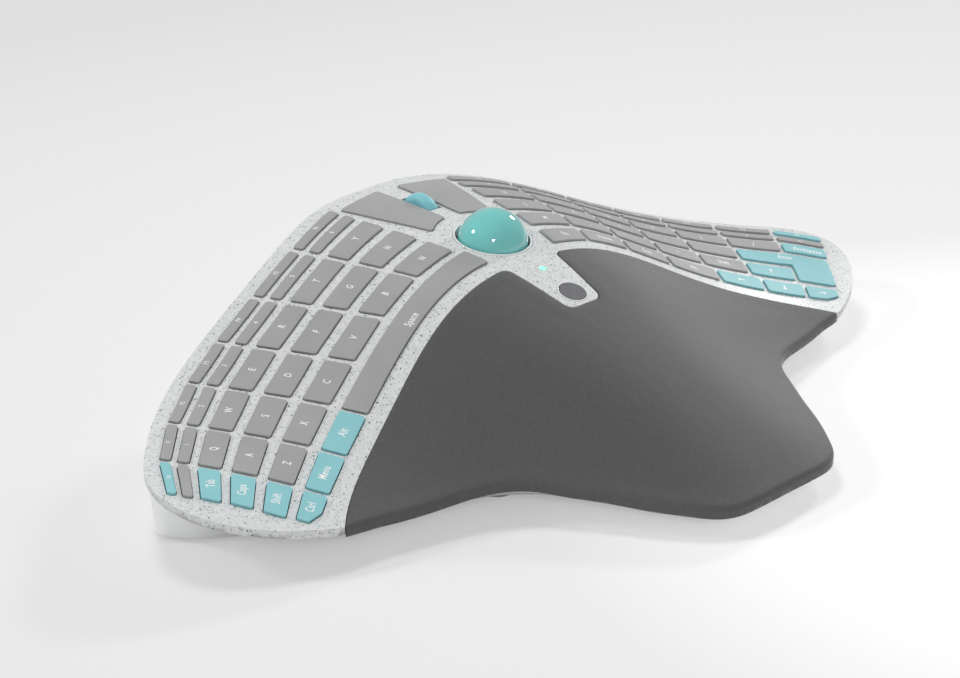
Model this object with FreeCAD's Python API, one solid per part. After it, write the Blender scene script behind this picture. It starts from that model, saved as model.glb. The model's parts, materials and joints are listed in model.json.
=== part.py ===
import FreeCAD, Part
import math
import os

# An arched keyboard with a trackball in its crown. Two key wings sweep forward and down from the
# middle, and a soft palm rest fills the space between them. Millimetres. X runs to the right, Y to
# the back and Z up. The origin is on the table, under the middle of the whole outline.
# Depths named "level" are measured straight down from the skin, the curved surface on which the
# tops of all the keys lie.

Vec = FreeCAD.Vector
Z_UP = Vec(0, 0, 1)

# The skin: a crown along the middle, which falls to a rim at the ends of the wings
crown_height = 76.5
crown_slope = 0.419
crown_bend_y = 29.0
crown_bend_length = 42.0
rim_back_height = 29.6
rim_front_height = 8.5
rim_turn_y = -21.0
rim_turn_length = 18.0
rim_rise = 0.037
rim_rise_x = 150.0
wing_reach = 166.0
wing_reach_growth = 0.68
wing_power = 1.21
wing_shoulder = 0.23
wing_tail = 0.03
skin_half_width = 206.0
skin_half_length = 129.0
skin_spans = (26, 16)

# Outline in plan, right half, from the middle of the back edge round to the end of the palm rest
wing_outline = ((0, 117.5), (34, 114.5), (65.5, 104.5), (93.5, 95.5), (119, 87), (142.8, 75.3),
                (164, 58.5), (181, 39.5), (189.5, 26), (192.5, 14), (191.5, 4), (187.5, -5),
                (179.5, -14), (168.5, -22), (157, -27.5), (145.5, -31.5))
rest_outline = ((134, -33.3), (122.8, -35.9), (107.6, -39.5), (94.6, -43), (84.8, -47.5),
                (77.5, -53), (72, -59.5), (66.5, -68), (58.7, -79.5), (51.1, -92), (43, -103),
                (36.5, -110.5), (27.5, -115.6), (14, -117.3), (0, -117.5))

# Where the tray stands on the table, point by point with the outline. It stands far back from the
# rim, so that the keyboard seems to float.
foot_outline = ((0, 97), (30, 95), (60, 87.5), (89, 81.5), (114.5, 76), (138, 67), (160.5, 54), (176.7, 40.2),
                (181.5, 27.9), (167, 13), (157.5, 8), (154.5, 5), (152, 2), (149, -1.5), (145, -6.5),
                (138.5, -12), (130, -17), (118.5, -20), (104, -22.5), (89, -26), (76, -31), (65, -38),
                (56.5, -47), (49.5, -57.5), (42.5, -69.5), (37, -82), (31.5, -92.5), (27.5, -99),
                (21, -103.5), (11, -105.8), (0, -106.5))

# The edge of the palm rest beside the keys, from outside the outline, then the side of the tongue
rest_front = ((165, -52), (145.5, -31.5), (137, -23.6), (120, -12), (101, -2), (81, 7), (60.5, 14.2),
              (39.5, 18.6), (26, 20), (13.9, 20.3))
tongue_corner = (9.0, -11.5)
rest_corner_radius = 4.0
tongue_corner_radius = 4.5

# Key field, right half: where the column edges meet the back and the front of the field
column_back = ((32.8, 110.1), (64.3, 98.9), (92.5, 90.4), (117.1, 82.6), (139.3, 71.9),
               (160.2, 55.8), (178.8, 34.8), (190.2, 13.9))
column_front = ((18.2, 23.8), (40, 23.7), (61.4, 19.5), (82.1, 12.5), (102.2, 3.7), (121.6, -6.5),
                (139.6, -17.7), (155.1, -29.2))
column_bow = 1.3
column_gap_share = 0.10
field_edge = 1.8
function_row, function_gap = 5.1, 3.5
number_row, number_gap = 5.6, 4.7
top_row, top_gap = 10.9, 5.4
home_row, home_gap = 11.9, 5.6
bottom_row, bottom_gap = 12.0, 5.5
thumb_row = 11.2

# Keys
key_height = 5.2
key_corner_radius = 1.1
key_travel = 1.8
key_reach = 8.0
key_clearance = 0.35
stem_width = 4.4
stem_depth = 3.2
stem_clearance = 0.3
stem_overrun = 0.6
tip_stem_shift = 5.0
enter_stem_shift = -7.5
tip_corner_cut = 0.42
arrow_shift = 0.14

# Shell, plates and the layers of the palm rest
shell_level = 1.0
shell_wall = 3.1
layer_gap = 0.2
plate_wall = 1.5
rest_level = 0.9
rest_skin = 1.8
rest_thickness = 4.2
rest_seam = 0.35
rest_edge = 6.0
rest_edge_radius = 2.4
deck_wall = 1.5
tray_inset = 1.0
tray_wall = 3.0
tray_lip = 0.6
floor_wall = 1.6
foot_height = 1.6
foot_radius = 6.0
foot_recess = 0.6
foot_spots = ((14, -92), (66, -28), (148, 18), (60, 72))
rim_keys = ("escape_key", "left_blank_key", "control_key", "delete_key", "right_blank_key",
            "arrow_right_key")
post_radius = 3.4
post_places = ((2, "top"), (3, "bottom"), (4, "top"), (5, "home"))
rib_thickness = 2.0
rib_height = 3.0

# Trackball, its cup, bearings and sensor
ball_radius = 15.0
ball_centre = Vec(0, 42.6, 66.1)
ball_gap = 0.8
cup_wall = 3.0
cup_flange = 2.8
cup_flange_wall = 2.0
ring_width = 1.0
ring_level = 0.8
bearing_radius = 1.5
bearing_gap = 0.05
bearing_tilt = 48.0
bearing_count = 3
sensor_window_radius = 3.2
sensor_seat_radius = 8.0
sensor_seat_depth = 2.0
sensor_size = 11.0
sensor_height = 3.0
lens_height = 2.5

# Scroll wheel, its carriage and the board under the mouse keys
wheel_radius = 10.6
wheel_width = 6.4
wheel_round = 2.2
wheel_centre = Vec(0, 87.0, 66.4)
wheel_gap = 0.5
axle_radius = 1.2
axle_clearance = 0.08
carriage_wall = 1.8
carriage_length = 8.0
carriage_travel = 0.8
carriage_clearance = 0.3
lug_reach = 3.5
lug_height = 1.6
encoder_width = 4.5
encoder_height = 6.0
board_top = 61.6
board_wall = 1.6
board_half_width = 26.0
board_front_y = 65.5
board_back_y = 106.0
switch_spot = (13.5, 73.0)
switch_size = (6.0, 12.0, 5.0)
plunger_size = (2.0, 2.0, 1.0)
shell_boss_radius = 1.9
shell_boss_x = 23.5
shell_boss_y = 70.0
shell_boss_back_y = 103.0

# Mouse keys, hinged at the back
mouse_inner_back = (5.8, 109.2)
mouse_inner_front = (4.4, 66.4)
mouse_outer_front = (17.8, 60.6)
mouse_outer_mid = (24.6, 82.5)
mouse_outer_back = (30.4, 104.8)
mouse_ball_gap = 10.0
mouse_key_level = 0.2
mouse_thickness = 3.5

# Power button and status light in the tongue
button_y = -3.8
button_radius = 5.9
button_height = 3.0
button_proud = 0.1
button_travel = 0.5
button_clearance = 0.25
housing_wall = 0.7
housing_floor = 1.0
light_y = 13.2
light_radius = 1.5
light_length = 4.0

# Electronics on the floor of the tray
main_board_size = (70.0, 52.0, 1.6)
main_board_back_y = 88.0
battery_size = (64.0, 36.0, 7.0)
battery_y = 4.0
battery_gap = 0.3
socket_size = (9.0, 7.6, 3.3)
socket_wall = 0.35
socket_tongue = (6.6, 5.0, 0.7)
socket_clearance = 0.3

# Screws
screw_radius = 1.0
screw_head_radius = 1.8
screw_head_height = 1.2
screw_length = 7.0
screw_clearance = 0.1


def softened(start, slope, length, y):
    """A slope that starts gently in front of y = start."""
    ahead = start - y
    return slope * (ahead + math.hypot(ahead, length)) / 2


def skin_height(x, y):
    """Height of the skin over a point of the plan."""
    crown = crown_height - softened(crown_bend_y, crown_slope, crown_bend_length, y)
    turn = 1 / (1 + math.exp((rim_turn_y - y) / rim_turn_length))
    rim = rim_front_height + (rim_back_height - rim_front_height) * turn
    rim += rim_rise * max(abs(x) - rim_rise_x, 0)
    reach = wing_reach + wing_reach_growth * y
    phase = math.pi * min(abs(x) / reach, 1.0) ** wing_power
    bell = (1 - math.cos(phase)) / 2 + wing_shoulder * math.sin(phase) ** 2
    bell += wing_tail * math.sin(2 * phase) * math.sin(phase) ** 2
    return crown + (rim - crown) * bell


def on_skin(x, y, level=0.0):
    return Vec(x, y, skin_height(x, y) - level)


def skin_normal(x, y):
    step = 1.0
    along_x = Vec(2 * step, 0, skin_height(x + step, y) - skin_height(x - step, y))
    along_y = Vec(0, 2 * step, skin_height(x, y + step) - skin_height(x, y - step))
    return along_x.cross(along_y).normalize()


def make_skin():
    """The skin as one smooth surface over the whole plan."""
    columns, rows = skin_spans
    grid = []
    for i in range(columns + 1):
        x = skin_half_width * (2 * i / columns - 1)
        grid.append([on_skin(x, skin_half_length * (2 * j / rows - 1)) for j in range(rows + 1)])
    surface = Part.BSplineSurface()
    surface.interpolate(grid)
    return surface.toShape()


skin = make_skin()


def layer(level, bottom_level):
    """The solid between two depths under the skin."""
    top = skin.translated(Vec(0, 0, -level))
    return top.extrude(Vec(0, 0, level - bottom_level))


def below(level):
    """Everything from a depth under the skin down past the table."""
    return layer(level, level + 2 * crown_height)


def mirrored(points):
    return [(-x, y) for x, y in points]


def mirror_list(right):
    """Values all the way round from those of the right half."""
    return list(right) + list(right[1:-1])[::-1]


def curve_edge(points, z=0.0):
    curve = Part.BSplineCurve()
    curve.interpolate([Vec(x, y, z) for x, y in points])
    return curve.toShape()


def closed_loop(vectors):
    """A smooth closed wire through points that are evenly numbered round it."""
    curve = Part.BSplineCurve()
    curve.interpolate(Points=vectors, PeriodicFlag=True,
                      Parameters=[float(i) for i in range(len(vectors) + 1)])
    return Part.Wire(curve.toShape())


def both_halves(right):
    """Plan points all the way round, clockwise, from those of the right half."""
    return list(right) + mirrored(right[1:-1])[::-1]


def whole_outline():
    return both_halves(wing_outline + rest_outline)


def inset(points, distances):
    """Moves each point of a clockwise outline inwards by its own distance."""
    moved = []
    count = len(points)
    for i, (x, y) in enumerate(points):
        before, after = points[i - 1], points[(i + 1) % count]
        run = math.hypot(after[0] - before[0], after[1] - before[1])
        inward = ((after[1] - before[1]) / run, (before[0] - after[0]) / run)
        moved.append((x + inward[0] * distances[i], y + inward[1] * distances[i]))
    return moved


def plan_prism(wire, bottom=-10.0, top=120.0):
    face = Part.Face(wire)
    return face.translated(Vec(0, 0, bottom)).extrude(Vec(0, 0, top - bottom))


def outline_prism(distance):
    points = whole_outline()
    moved = inset(points, [distance] * len(points))
    return plan_prism(closed_loop([Vec(x, y, 0) for x, y in moved]))


def rest_wire(seam):
    """Plan of the palm rest: the edge beside the keys and the tongue, closed outside the outline."""
    front = [(x, y - seam) for x, y in rest_front]
    front[-1] = (rest_front[-1][0] + seam, rest_front[-1][1] - seam)
    end = (tongue_corner[0] + seam, tongue_corner[1] - seam)
    tongue = [front[-1], end, (-end[0], end[1]), (-front[-1][0], front[-1][1])]
    lines = Part.makePolygon([Vec(x, y, 0) for x, y in tongue])
    far_y = -skin_half_length
    outside = [front[0], (front[0][0], far_y), (-front[0][0], far_y), (-front[0][0], front[0][1])]
    border = Part.makePolygon([Vec(x, y, 0) for x, y in outside[::-1]])
    return Part.Wire([curve_edge(front)] + lines.Edges + [curve_edge(mirrored(front)[::-1])]
                     + border.Edges)


def is_upright(edge):
    start, end = edge.Vertexes[0].Point, edge.Vertexes[-1].Point
    return math.hypot(end.x - start.x, end.y - start.y) < 0.01


def upright_edges(shape, spots):
    return [edge for edge in shape.Edges if is_upright(edge)
            and any(math.hypot(edge.Vertexes[0].Point.x - x, edge.Vertexes[0].Point.y - y) < 0.01
                    for x, y in spots)]


def rest_prism(seam=0.0):
    """The upright prism of the palm rest, rounded where it meets the tongue."""
    prism = plan_prism(rest_wire(seam))
    tips = [(rest_front[-1][0] + seam, rest_front[-1][1] - seam)]
    ends = [(tongue_corner[0] + seam, tongue_corner[1] - seam)]
    prism = prism.makeFillet(rest_corner_radius, upright_edges(prism, tips + mirrored(tips)))
    return prism.makeFillet(tongue_corner_radius, upright_edges(prism, ends + mirrored(ends)))


# The key field: a point at column edge s, from 0 at the middle to 7 at the tip, and at a share of
# the way from the back of the field to its front

def through_columns(points):
    curve = Part.BSplineCurve()
    curve.interpolate(Points=[Vec(x, y, 0) for x, y in points],
                      Parameters=[float(i) for i in range(len(points))])
    return curve


back_curve = through_columns(column_back)
front_curve = through_columns(column_front)
tip = len(column_back) - 1


def field_point(s, share):
    back, front = back_curve.value(s), front_curve.value(s)
    point = back + (front - back) * share
    return (point.x + column_bow * 4 * share * (1 - share) * (1 - s / tip), point.y)


row_sizes = (("function", function_row, function_gap), ("number", number_row, number_gap),
             ("top", top_row, top_gap), ("home", home_row, home_gap),
             ("bottom", bottom_row, bottom_gap), ("thumb", thumb_row, field_edge))
field_depth = field_edge + sum(size + gap for name, size, gap in row_sizes)
rows = {}
reached = field_edge
for row_name, size, gap in row_sizes:
    rows[row_name] = (reached / field_depth, (reached + size) / field_depth)
    reached += size + gap

tip_edge = {"function": 7.0, "number": 7.0, "top": 6.95, "home": 6.9, "bottom": 6.9, "thumb": 6.85}
half_gap = column_gap_share / 2


def cell(first, last, row, last_row=None):
    """The plan outline of a key between two column edges: back side, then front side reversed."""
    start, end = rows[row][0], rows[last_row or row][1]
    steps = max(1, round(last - first))
    across = [first + (last - first) * i / steps for i in range(steps + 1)]
    return [[field_point(s, start) for s in across], [field_point(s, end) for s in across[::-1]]]


def column_cell(column, row):
    """The cell of the key in one column, counted from 1 beside the middle."""
    outer = tip_edge[row] if column == tip else column - half_gap
    return cell(column - 1 + half_gap, outer, row)


def flip(sides, side):
    """The same outline on the left or the right wing."""
    return sides if side > 0 else [mirrored(run) for run in sides]


def loop_of(runs):
    """A closed wire: each run of points is smooth, and joined to the next by a straight line."""
    edges = []
    for i, points in enumerate(runs):
        if len(points) > 2:
            curve = Part.BSplineCurve()
            curve.interpolate(points)
            edges.append(curve.toShape())
        elif len(points) == 2:
            edges.append(Part.makeLine(*points))
        edges.append(Part.makeLine(points[-1], runs[(i + 1) % len(runs)][0]))
    return Part.Wire(edges)


def grown(runs, distance, along):
    """The runs of a closed outline, moved outwards in the plane that is square to along."""
    ring = [point for run in runs for point in run]
    sides = [(ring[(i + 1) % len(ring)] - ring[i]).normalize() for i in range(len(ring))]
    area = sum(((a - ring[0]).cross(b - ring[0])).dot(along) for a, b in zip(ring, ring[1:]))
    turn = distance if area > 0 else -distance
    moved = []
    for i, point in enumerate(ring):
        before, after = sides[i - 1].cross(along), sides[i].cross(along)
        moved.append(point + (before + after) * (turn / (1 + before.dot(after))))
    parts, reached = [], 0
    for run in runs:
        parts.append(moved[reached:reached + len(run)])
        reached += len(run)
    return parts


class Key:
    """One key: its outline, the direction in which it travels and the middle of its top."""

    def __init__(self, sides, side, direction=None, level=0.0, stem_shift=0.0):
        sides = flip(sides, side)
        points = [point for run in sides for point in run]
        middle = (sum(x for x, y in points) / len(points), sum(y for x, y in points) / len(points))
        self.middle = on_skin(*middle, level)
        self.direction = direction or skin_normal(*middle)
        self.outline = [[self.lift(x, y) for x, y in run] for run in sides]
        self.inwards = (self.outline[0][0] - self.outline[0][-1]).normalize()
        self.stem_top = self.middle + self.inwards * stem_shift
        self.reach = key_reach + max(abs(self.lift(x, y).z - skin_height(x, y)) for x, y in points)

    def lift(self, x, y):
        """Raises a plan point to the plane through the key's middle, square to its travel."""
        along, middle = self.direction, self.middle
        away = along.x * (x - middle.x) + along.y * (y - middle.y)
        return Vec(x, y, middle.z - away / along.z)

    def prism(self, grow=0.0):
        """A long prism along the travel, as wide as the key and grown on all sides."""
        along = self.direction
        reach = self.reach
        face = Part.Face(loop_of(grown(self.outline, grow, along)))
        solid = face.translated(along * reach).extrude(along * (-2 * reach))
        corners = [edge for edge in solid.Edges if edge.Curve.TypeId == "Part::GeomLine"
                   and abs(edge.tangentAt(edge.FirstParameter).dot(along)) > 0.999]
        return solid.makeFillet(key_corner_radius + grow, corners)

    def stem(self, grow=0.0, end_level=0.0):
        """The stem under the key, in line with the key's back edge, down to a level."""
        along, side = self.direction, self.inwards
        depth = end_level * along.z
        front = along.cross(side)
        half_x, half_y = stem_width / 2 + grow, stem_depth / 2 + grow
        foot = self.stem_top - along * depth
        corners = [foot + side * (half_x * i) + front * (half_y * j)
                   for i, j in ((-1, -1), (1, -1), (1, 1), (-1, 1), (-1, -1))]
        return Part.Face(Part.makePolygon(corners)).extrude(along * (depth - key_height * along.z / 2))

    def solid(self):
        return self.prism().common(key_layer).fuse(self.stem(0, stem_level))


def column_direction(column, side):
    """The travel of a column of keys: square to the skin in the middle of its home row."""
    x, y = field_point(column - 0.5, sum(rows["home"]) / 2)
    return skin_normal(side * x, y)


def make_keys():
    """Every key by node name. The keys of a plain column share one node and one travel."""
    letter_rows = ("function", "number", "top", "home", "bottom")
    keys = {}
    for side, wing in ((-1, "left"), (1, "right")):
        for column in range(1, tip):
            held = letter_rows
            if side > 0 and column == tip - 1:
                held = letter_rows[:3]
            direction = column_direction(column, side)
            keys[f"{wing}_keys_column_{column}"] = [
                Key(column_cell(column, row), side, direction) for row in held]

    left = {"escape_key": "function", "left_blank_key": "number", "tab_key": "top",
            "caps_key": "home", "left_shift_key": "bottom"}
    for name, row in left.items():
        keys[name] = [Key(column_cell(tip, row), -1, stem_shift=tip_stem_shift)]
    right = {"delete_key": "function", "right_blank_key": "number", "backspace_key": "top"}
    for name, row in right.items():
        keys[name] = [Key(column_cell(tip, row), 1, stem_shift=tip_stem_shift)]

    keys["space_key"] = [Key(cell(half_gap, 4 - half_gap, "thumb"), -1)]
    keys["alt_key"] = [Key(cell(4 + half_gap, 5 - half_gap, "thumb"), -1)]
    keys["menu_key"] = [Key(cell(5 + half_gap, 6 - half_gap, "thumb"), -1)]
    left_end = cut_corner(cell(6 + half_gap, tip_edge["thumb"], "thumb"))
    keys["control_key"] = [Key(left_end, -1, stem_shift=tip_stem_shift)]
    for number in (1, 2, 3):
        keys[f"thumb_key_{number}"] = [
            Key(cell(number - 1 + half_gap, number - half_gap, "thumb"), 1)]
    starts = (3, 4 + arrow_shift, 5 + arrow_shift, 6 + arrow_shift / 2)
    ends = (4 + arrow_shift, 5 + arrow_shift, 6 + arrow_shift / 2, tip)
    names = ("thumb_key_4", "arrow_left_key", "arrow_down_key")
    for name, start, end in zip(names, starts, ends):
        keys[name] = [Key(cell(start + half_gap, end - half_gap, "thumb"), 1)]
    right_end = cut_corner(cell(starts[-1] + half_gap, tip_edge["thumb"], "thumb"))
    keys["arrow_right_key"] = [Key(right_end, 1, stem_shift=tip_stem_shift)]
    keys["arrow_up_key"] = [Key(cell(5 + half_gap, 6 - half_gap, "bottom"), 1)]
    keys["enter_key"] = [Key(enter_outline(), 1, stem_shift=enter_stem_shift)]
    return keys


def cut_corner(sides):
    """Takes the outer front corner off a key at the tip of a wing."""
    back, front = sides
    outer, inner = front[0], front[-1]
    rim = back[-1]
    share = tip_corner_cut
    along_front = tuple(a + (b - a) * share for a, b in zip(outer, inner))
    along_rim = tuple(a + (b - a) * share for a, b in zip(outer, rim))
    return [back, [along_rim], [along_front, inner]]


def enter_outline():
    """The enter key: the home row of the last two columns and the tip of the row in front."""
    first, middle, last = tip - 2 + half_gap, tip - 1 + half_gap, tip_edge["home"]
    home_back, home_front = rows["home"]
    low_front = rows["bottom"][1]
    return [[field_point(first, home_back), field_point(tip - 1, home_back),
             field_point(last, home_back)],
            [field_point(last, low_front), field_point(middle, low_front)],
            [field_point(middle, home_front), field_point(first, home_front)]]


def mouse_key(side):
    """The big key left or right of the wheel, with its edge hollowed round the ball."""
    reach = ball_radius + mouse_ball_gap
    inner = math.atan2(mouse_inner_front[0], mouse_inner_front[1] - ball_centre.y)
    outer = math.atan2(mouse_outer_front[0], mouse_outer_front[1] - ball_centre.y)
    arc = []
    for step in range(5):
        turn = outer + (inner - outer) * step / 4
        arc.append((reach * math.sin(turn), ball_centre.y + reach * math.cos(turn)))
    return Key([[mouse_inner_back, mouse_outer_back], [mouse_outer_mid], arc], side, Vec(Z_UP),
               mouse_key_level)


def mouse_key_solid(side):
    return mouse_key(side).prism().common(layer(mouse_key_level, mouse_key_level + mouse_thickness))


# The casing

def rest_region(edge, seam, level, bottom_level):
    """The palm rest's plan, drawn in from its outer edge, between two depths."""
    return outline_prism(edge).common(rest_prism(seam)).common(layer(level, bottom_level))


def board_posts():
    """Where the board under the mouse keys is screwed to the shell."""
    return [(-shell_boss_x, shell_boss_y), (shell_boss_x, shell_boss_y), (0, shell_boss_back_y)]


def top_shell(keys):
    bottom = shell_level + shell_wall
    bosses = [upright(shell_boss_radius, x, y, board_top, skin_height(x, y) - bottom + shell_wall / 2)
              for x, y in board_posts()]
    shell = outline_prism(0).common(layer(shell_level, bottom)).fuse(bosses)
    holes = [rest_prism()]
    holes += [mouse_key(side).prism(key_clearance) for side in (-1, 1)]
    holes += [upright(ball_radius + ball_gap + ring_width + layer_gap, 0, ball_centre.y, 0, 2 * crown_height)]
    holes += [barrel(wheel_radius + wheel_gap, wheel_width + 2 * wheel_gap)]
    for radius, y in ((button_radius + housing_wall, button_y), (light_radius, light_y)):
        holes.append(tilted(radius + layer_gap / 2, y, -shell_wall * 3, shell_wall * 3))
    for hole in holes:
        shell = shell.cut(hole)
    shell = shell.cut(board_screws(screw_clearance) + cup_screws(screw_clearance))
    for side in (-1, 1):
        shell = shell.cut([key.prism(key_clearance) for group in keys.values() for key in group
                           if key.middle.x * side > 0])
    return shell


def upright(radius, x, y, bottom, top):
    return Part.makeCylinder(radius, top - bottom, Vec(x, y, bottom))


def barrel(radius, width):
    """A cylinder on the wheel's axis."""
    return Part.makeCylinder(radius, width, wheel_centre - Vec(width / 2, 0, 0), Vec(1, 0, 0))


def tilted(radius, y, start, end):
    """A cylinder square to the shell on the middle line, between two heights over the shell."""
    along = skin_normal(0, y)
    return Part.makeCylinder(radius, end - start, on_skin(0, y, shell_level) + along * start, along)


def tray_prism(wall):
    """The lower tray's outside, or its inside at a wall's distance, closed flat at the top."""
    points = whole_outline()
    levels = mirror_list([rim_level] * len(wing_outline) + [tray_level] * len(rest_outline))
    low = inset(both_halves(foot_outline), [wall] * len(points))
    high = inset(points, [tray_inset + wall] * len(points))
    base = closed_loop([Vec(x, y, foot_height) for x, y in low])
    rim = closed_loop([on_skin(x, y, level + tray_lip) for (x, y), level in zip(high, levels)])
    top = closed_loop([Vec(x, y, 2 * crown_height) for x, y in high])
    return Part.makeLoft([base, rim, top], True, True)


def lower_tray(keys):
    inside = tray_prism(tray_wall)
    hollow = inside.cut(block(-500, 500, -500, 500, -100, floor_top))
    tray = tray_prism(0).common(below(rim_level)).cut(hollow)
    tray = tray.cut(rest_prism().common(layer(0, tray_level)))
    top = below(plate_level + plate_wall + layer_gap)
    posts = [upright(post_radius, x, y, foot_height, crown_height).common(top) for x, y in posts_at()]
    tray = tray.fuse(posts + board_ribs())
    holes = [foot(x, y, layer_gap / 2) for x, y in feet_at()]
    holes += [screw(Vec(x, y, foot_height), Z_UP, screw_length, screw_clearance) for x, y in posts_at()]
    holes.append(charge_socket_block(socket_clearance))
    holes += key_pockets([keys[name][0] for name in rim_keys])
    return tray.cut(holes)


def feet_at():
    return [(side * x, y) for side in (-1, 1) for x, y in foot_spots]


def posts_at():
    """Posts stand where four keys meet, so they clear the stems."""
    spots = []
    for s, row in post_places:
        x, y = field_point(s, rows[row][1] + bottom_gap / 2 / field_depth)
        spots += [(-x, y), (x, y)]
    return spots


def foot(x, y, grow=0.0):
    return upright(foot_radius + grow, x, y, 0, foot_height + foot_recess)


def screw(start, along, length, grow=0.0):
    """A screw from the face under its head, or its hole when it is grown."""
    head = Part.makeCylinder(screw_head_radius + grow, screw_head_height + 2 * grow,
                             start - along * grow, along)
    return head.fuse(Part.makeCylinder(screw_radius + grow, length + grow, start, along))


def block(x0, x1, y0, y1, z0, z1):
    return Part.makeBox(x1 - x0, y1 - y0, z1 - z0, Vec(x0, y0, z0))


def centred_block(size, x, y, z, grow=0.0):
    """A block of a given width, length and height that stands on z."""
    width, length, height = size
    return block(x - width / 2 - grow, x + width / 2 + grow, y - length / 2 - grow,
                 y + length / 2 + grow, z - grow, z + height + grow)


def key_pockets(chosen):
    """Where the caps of some keys go when they are pressed, with a gap all round."""
    return [key.prism(key_clearance).common(key_room) for key in chosen]


def key_plate(keys, side):
    """The plate under one wing, with a guide hole for every stem."""
    steps = range(2 * tip + 1)
    back = [field_point(i / 2, 0) for i in steps]
    front = [field_point(i / 2, 1) for i in reversed(steps)]
    flat = loop_of([[Vec(x, y, 0) for x, y in run] for run in flip([back, front], side)])
    plate = plan_prism(flat).common(layer(plate_level, plate_level + plate_wall))
    plate = plate.common(tray_prism(tray_wall + layer_gap))
    holes = [key.stem(stem_clearance, stem_level + plate_wall) for group in keys.values()
             for key in group if key.middle.x * side > 0]
    return plate.cut(holes)


# Palm rest

def palm_rest_cover():
    bottom = rest_level + rest_thickness
    cover = rest_region(0, rest_seam, rest_level, bottom)
    longest = sorted(cover.Edges, key=lambda edge: -edge.Length)[:2]
    top = max(longest, key=lambda edge: edge.BoundBox.ZMax)
    cover = cover.makeFillet(rest_edge_radius, [top])
    return cover.cut(rest_region(rest_edge, rest_seam + rest_edge, rest_level + rest_skin, bottom + 1))


def palm_rest_foam():
    edge = rest_edge + layer_gap
    return rest_region(edge, rest_seam + edge, rest_level + rest_skin + layer_gap,
                       rest_level + rest_thickness)


def rest_deck():
    """The stiff plate that carries the palm rest, inside the wall of the tray."""
    deck = rest_prism(rest_seam).common(layer(deck_level, deck_level + deck_wall))
    return deck.common(tray_prism(tray_wall + layer_gap))


# Trackball

def trackball():
    return Part.makeSphere(ball_radius, ball_centre)


def bearings_at():
    """Centres of the support balls, spread evenly under the trackball."""
    reach = ball_radius + bearing_gap + bearing_radius
    out, down = math.sin(math.radians(bearing_tilt)), math.cos(math.radians(bearing_tilt))
    spots = []
    for i in range(bearing_count):
        turn = 2 * math.pi * i / bearing_count + math.pi / 2
        spots.append(ball_centre + Vec(out * math.cos(turn), out * math.sin(turn), -down) * reach)
    return spots


def cup_screws(grow=0.0):
    radius = ball_radius + ball_gap + cup_wall + cup_flange / 2
    screws = []
    for i in range(bearing_count):
        turn = 2 * math.pi * i / bearing_count + math.pi / 6
        x, y = radius * math.cos(turn), ball_centre.y + radius * math.sin(turn)
        start = on_skin(x, y, cup_level + cup_flange_wall + screw_head_height)
        screws.append(screw(start, Z_UP, cup_flange_wall + screw_head_height + shell_wall / 2, grow))
    return screws


def ball_socket(keys):
    """The cup under the trackball, with a flange against the shell and a seat for the sensor."""
    inner = ball_radius + ball_gap
    outer = inner + cup_wall
    cup = Part.makeSphere(outer, ball_centre).common(below(cup_level))
    flange = upright(outer + cup_flange, 0, ball_centre.y, 0, crown_height)
    flange = flange.common(layer(cup_level, cup_level + cup_flange_wall))
    seat = upright(sensor_seat_radius, 0, ball_centre.y, sensor_top, ball_centre.z - inner)
    holes = [Part.makeSphere(inner, ball_centre)]
    holes += [Part.makeSphere(bearing_radius + bearing_gap, spot) for spot in bearings_at()]
    holes += [upright(sensor_window_radius, 0, ball_centre.y, 0, ball_centre.z)]
    holes += key_pockets([keys[name][0] for name in ("space_key", "thumb_key_1")])
    return cup.fuse([flange, seat]).cut(holes + cup_screws(screw_clearance))


def socket_ring():
    ring = upright(ball_radius + ball_gap + ring_width, 0, ball_centre.y, 0, 2 * crown_height)
    hole = upright(ball_radius + ball_gap, 0, ball_centre.y, 0, 2 * crown_height)
    return ring.cut(hole).common(layer(ring_level, cup_level - layer_gap))


def optical_sensor():
    body = centred_block((sensor_size, sensor_size, sensor_height), 0, ball_centre.y,
                         sensor_top - sensor_height)
    lens = upright(sensor_window_radius - layer_gap, 0, ball_centre.y, sensor_top, sensor_top + lens_height)
    return body.fuse(lens)


# Scroll wheel

def scroll_wheel():
    wheel = barrel(wheel_radius, wheel_width)
    rims = [edge for edge in wheel.Edges if edge.Curve.TypeId == "Part::GeomCircle"]
    return wheel.makeFillet(wheel_round, rims).cut(barrel(axle_radius + axle_clearance, 2 * wheel_width))


def wheel_axle():
    return barrel(axle_radius, 2 * arm_outside)


def wheel_carriage():
    """The fork that carries the wheel. It slides down in the board when the wheel is pressed."""
    z = wheel_centre.z
    low = z - wheel_radius - wheel_gap - carriage_wall
    y0, y1 = wheel_centre.y - carriage_length / 2, wheel_centre.y + carriage_length / 2
    fork = block(-arm_outside, arm_outside, y0, y1, low, z + axle_radius + carriage_wall / 2)
    room = block(-arm_inside, arm_inside, y0 - 1, y1 + 1, low + carriage_wall, z + wheel_radius)
    lug_z = board_top + carriage_travel + 2 * carriage_clearance + plunger_size[2]
    lug = block(-arm_outside - lug_reach, -arm_outside, y0 + 1, y1 - 1, lug_z, lug_z + lug_height)
    return fork.cut([room, barrel(axle_radius, 2 * arm_outside + 1)]).fuse(lug)


def wheel_encoder():
    low = board_top - board_wall - carriage_travel - encoder_height
    return block(arm_outside, arm_outside + encoder_width, wheel_centre.y - carriage_length / 2,
                 wheel_centre.y + carriage_length / 2, low, low + encoder_height)


def board_screws(grow=0.0):
    start = board_top - board_wall - screw_head_height
    return [screw(Vec(x, y, start), Z_UP, screw_length, grow) for x, y in board_posts()]


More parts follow.
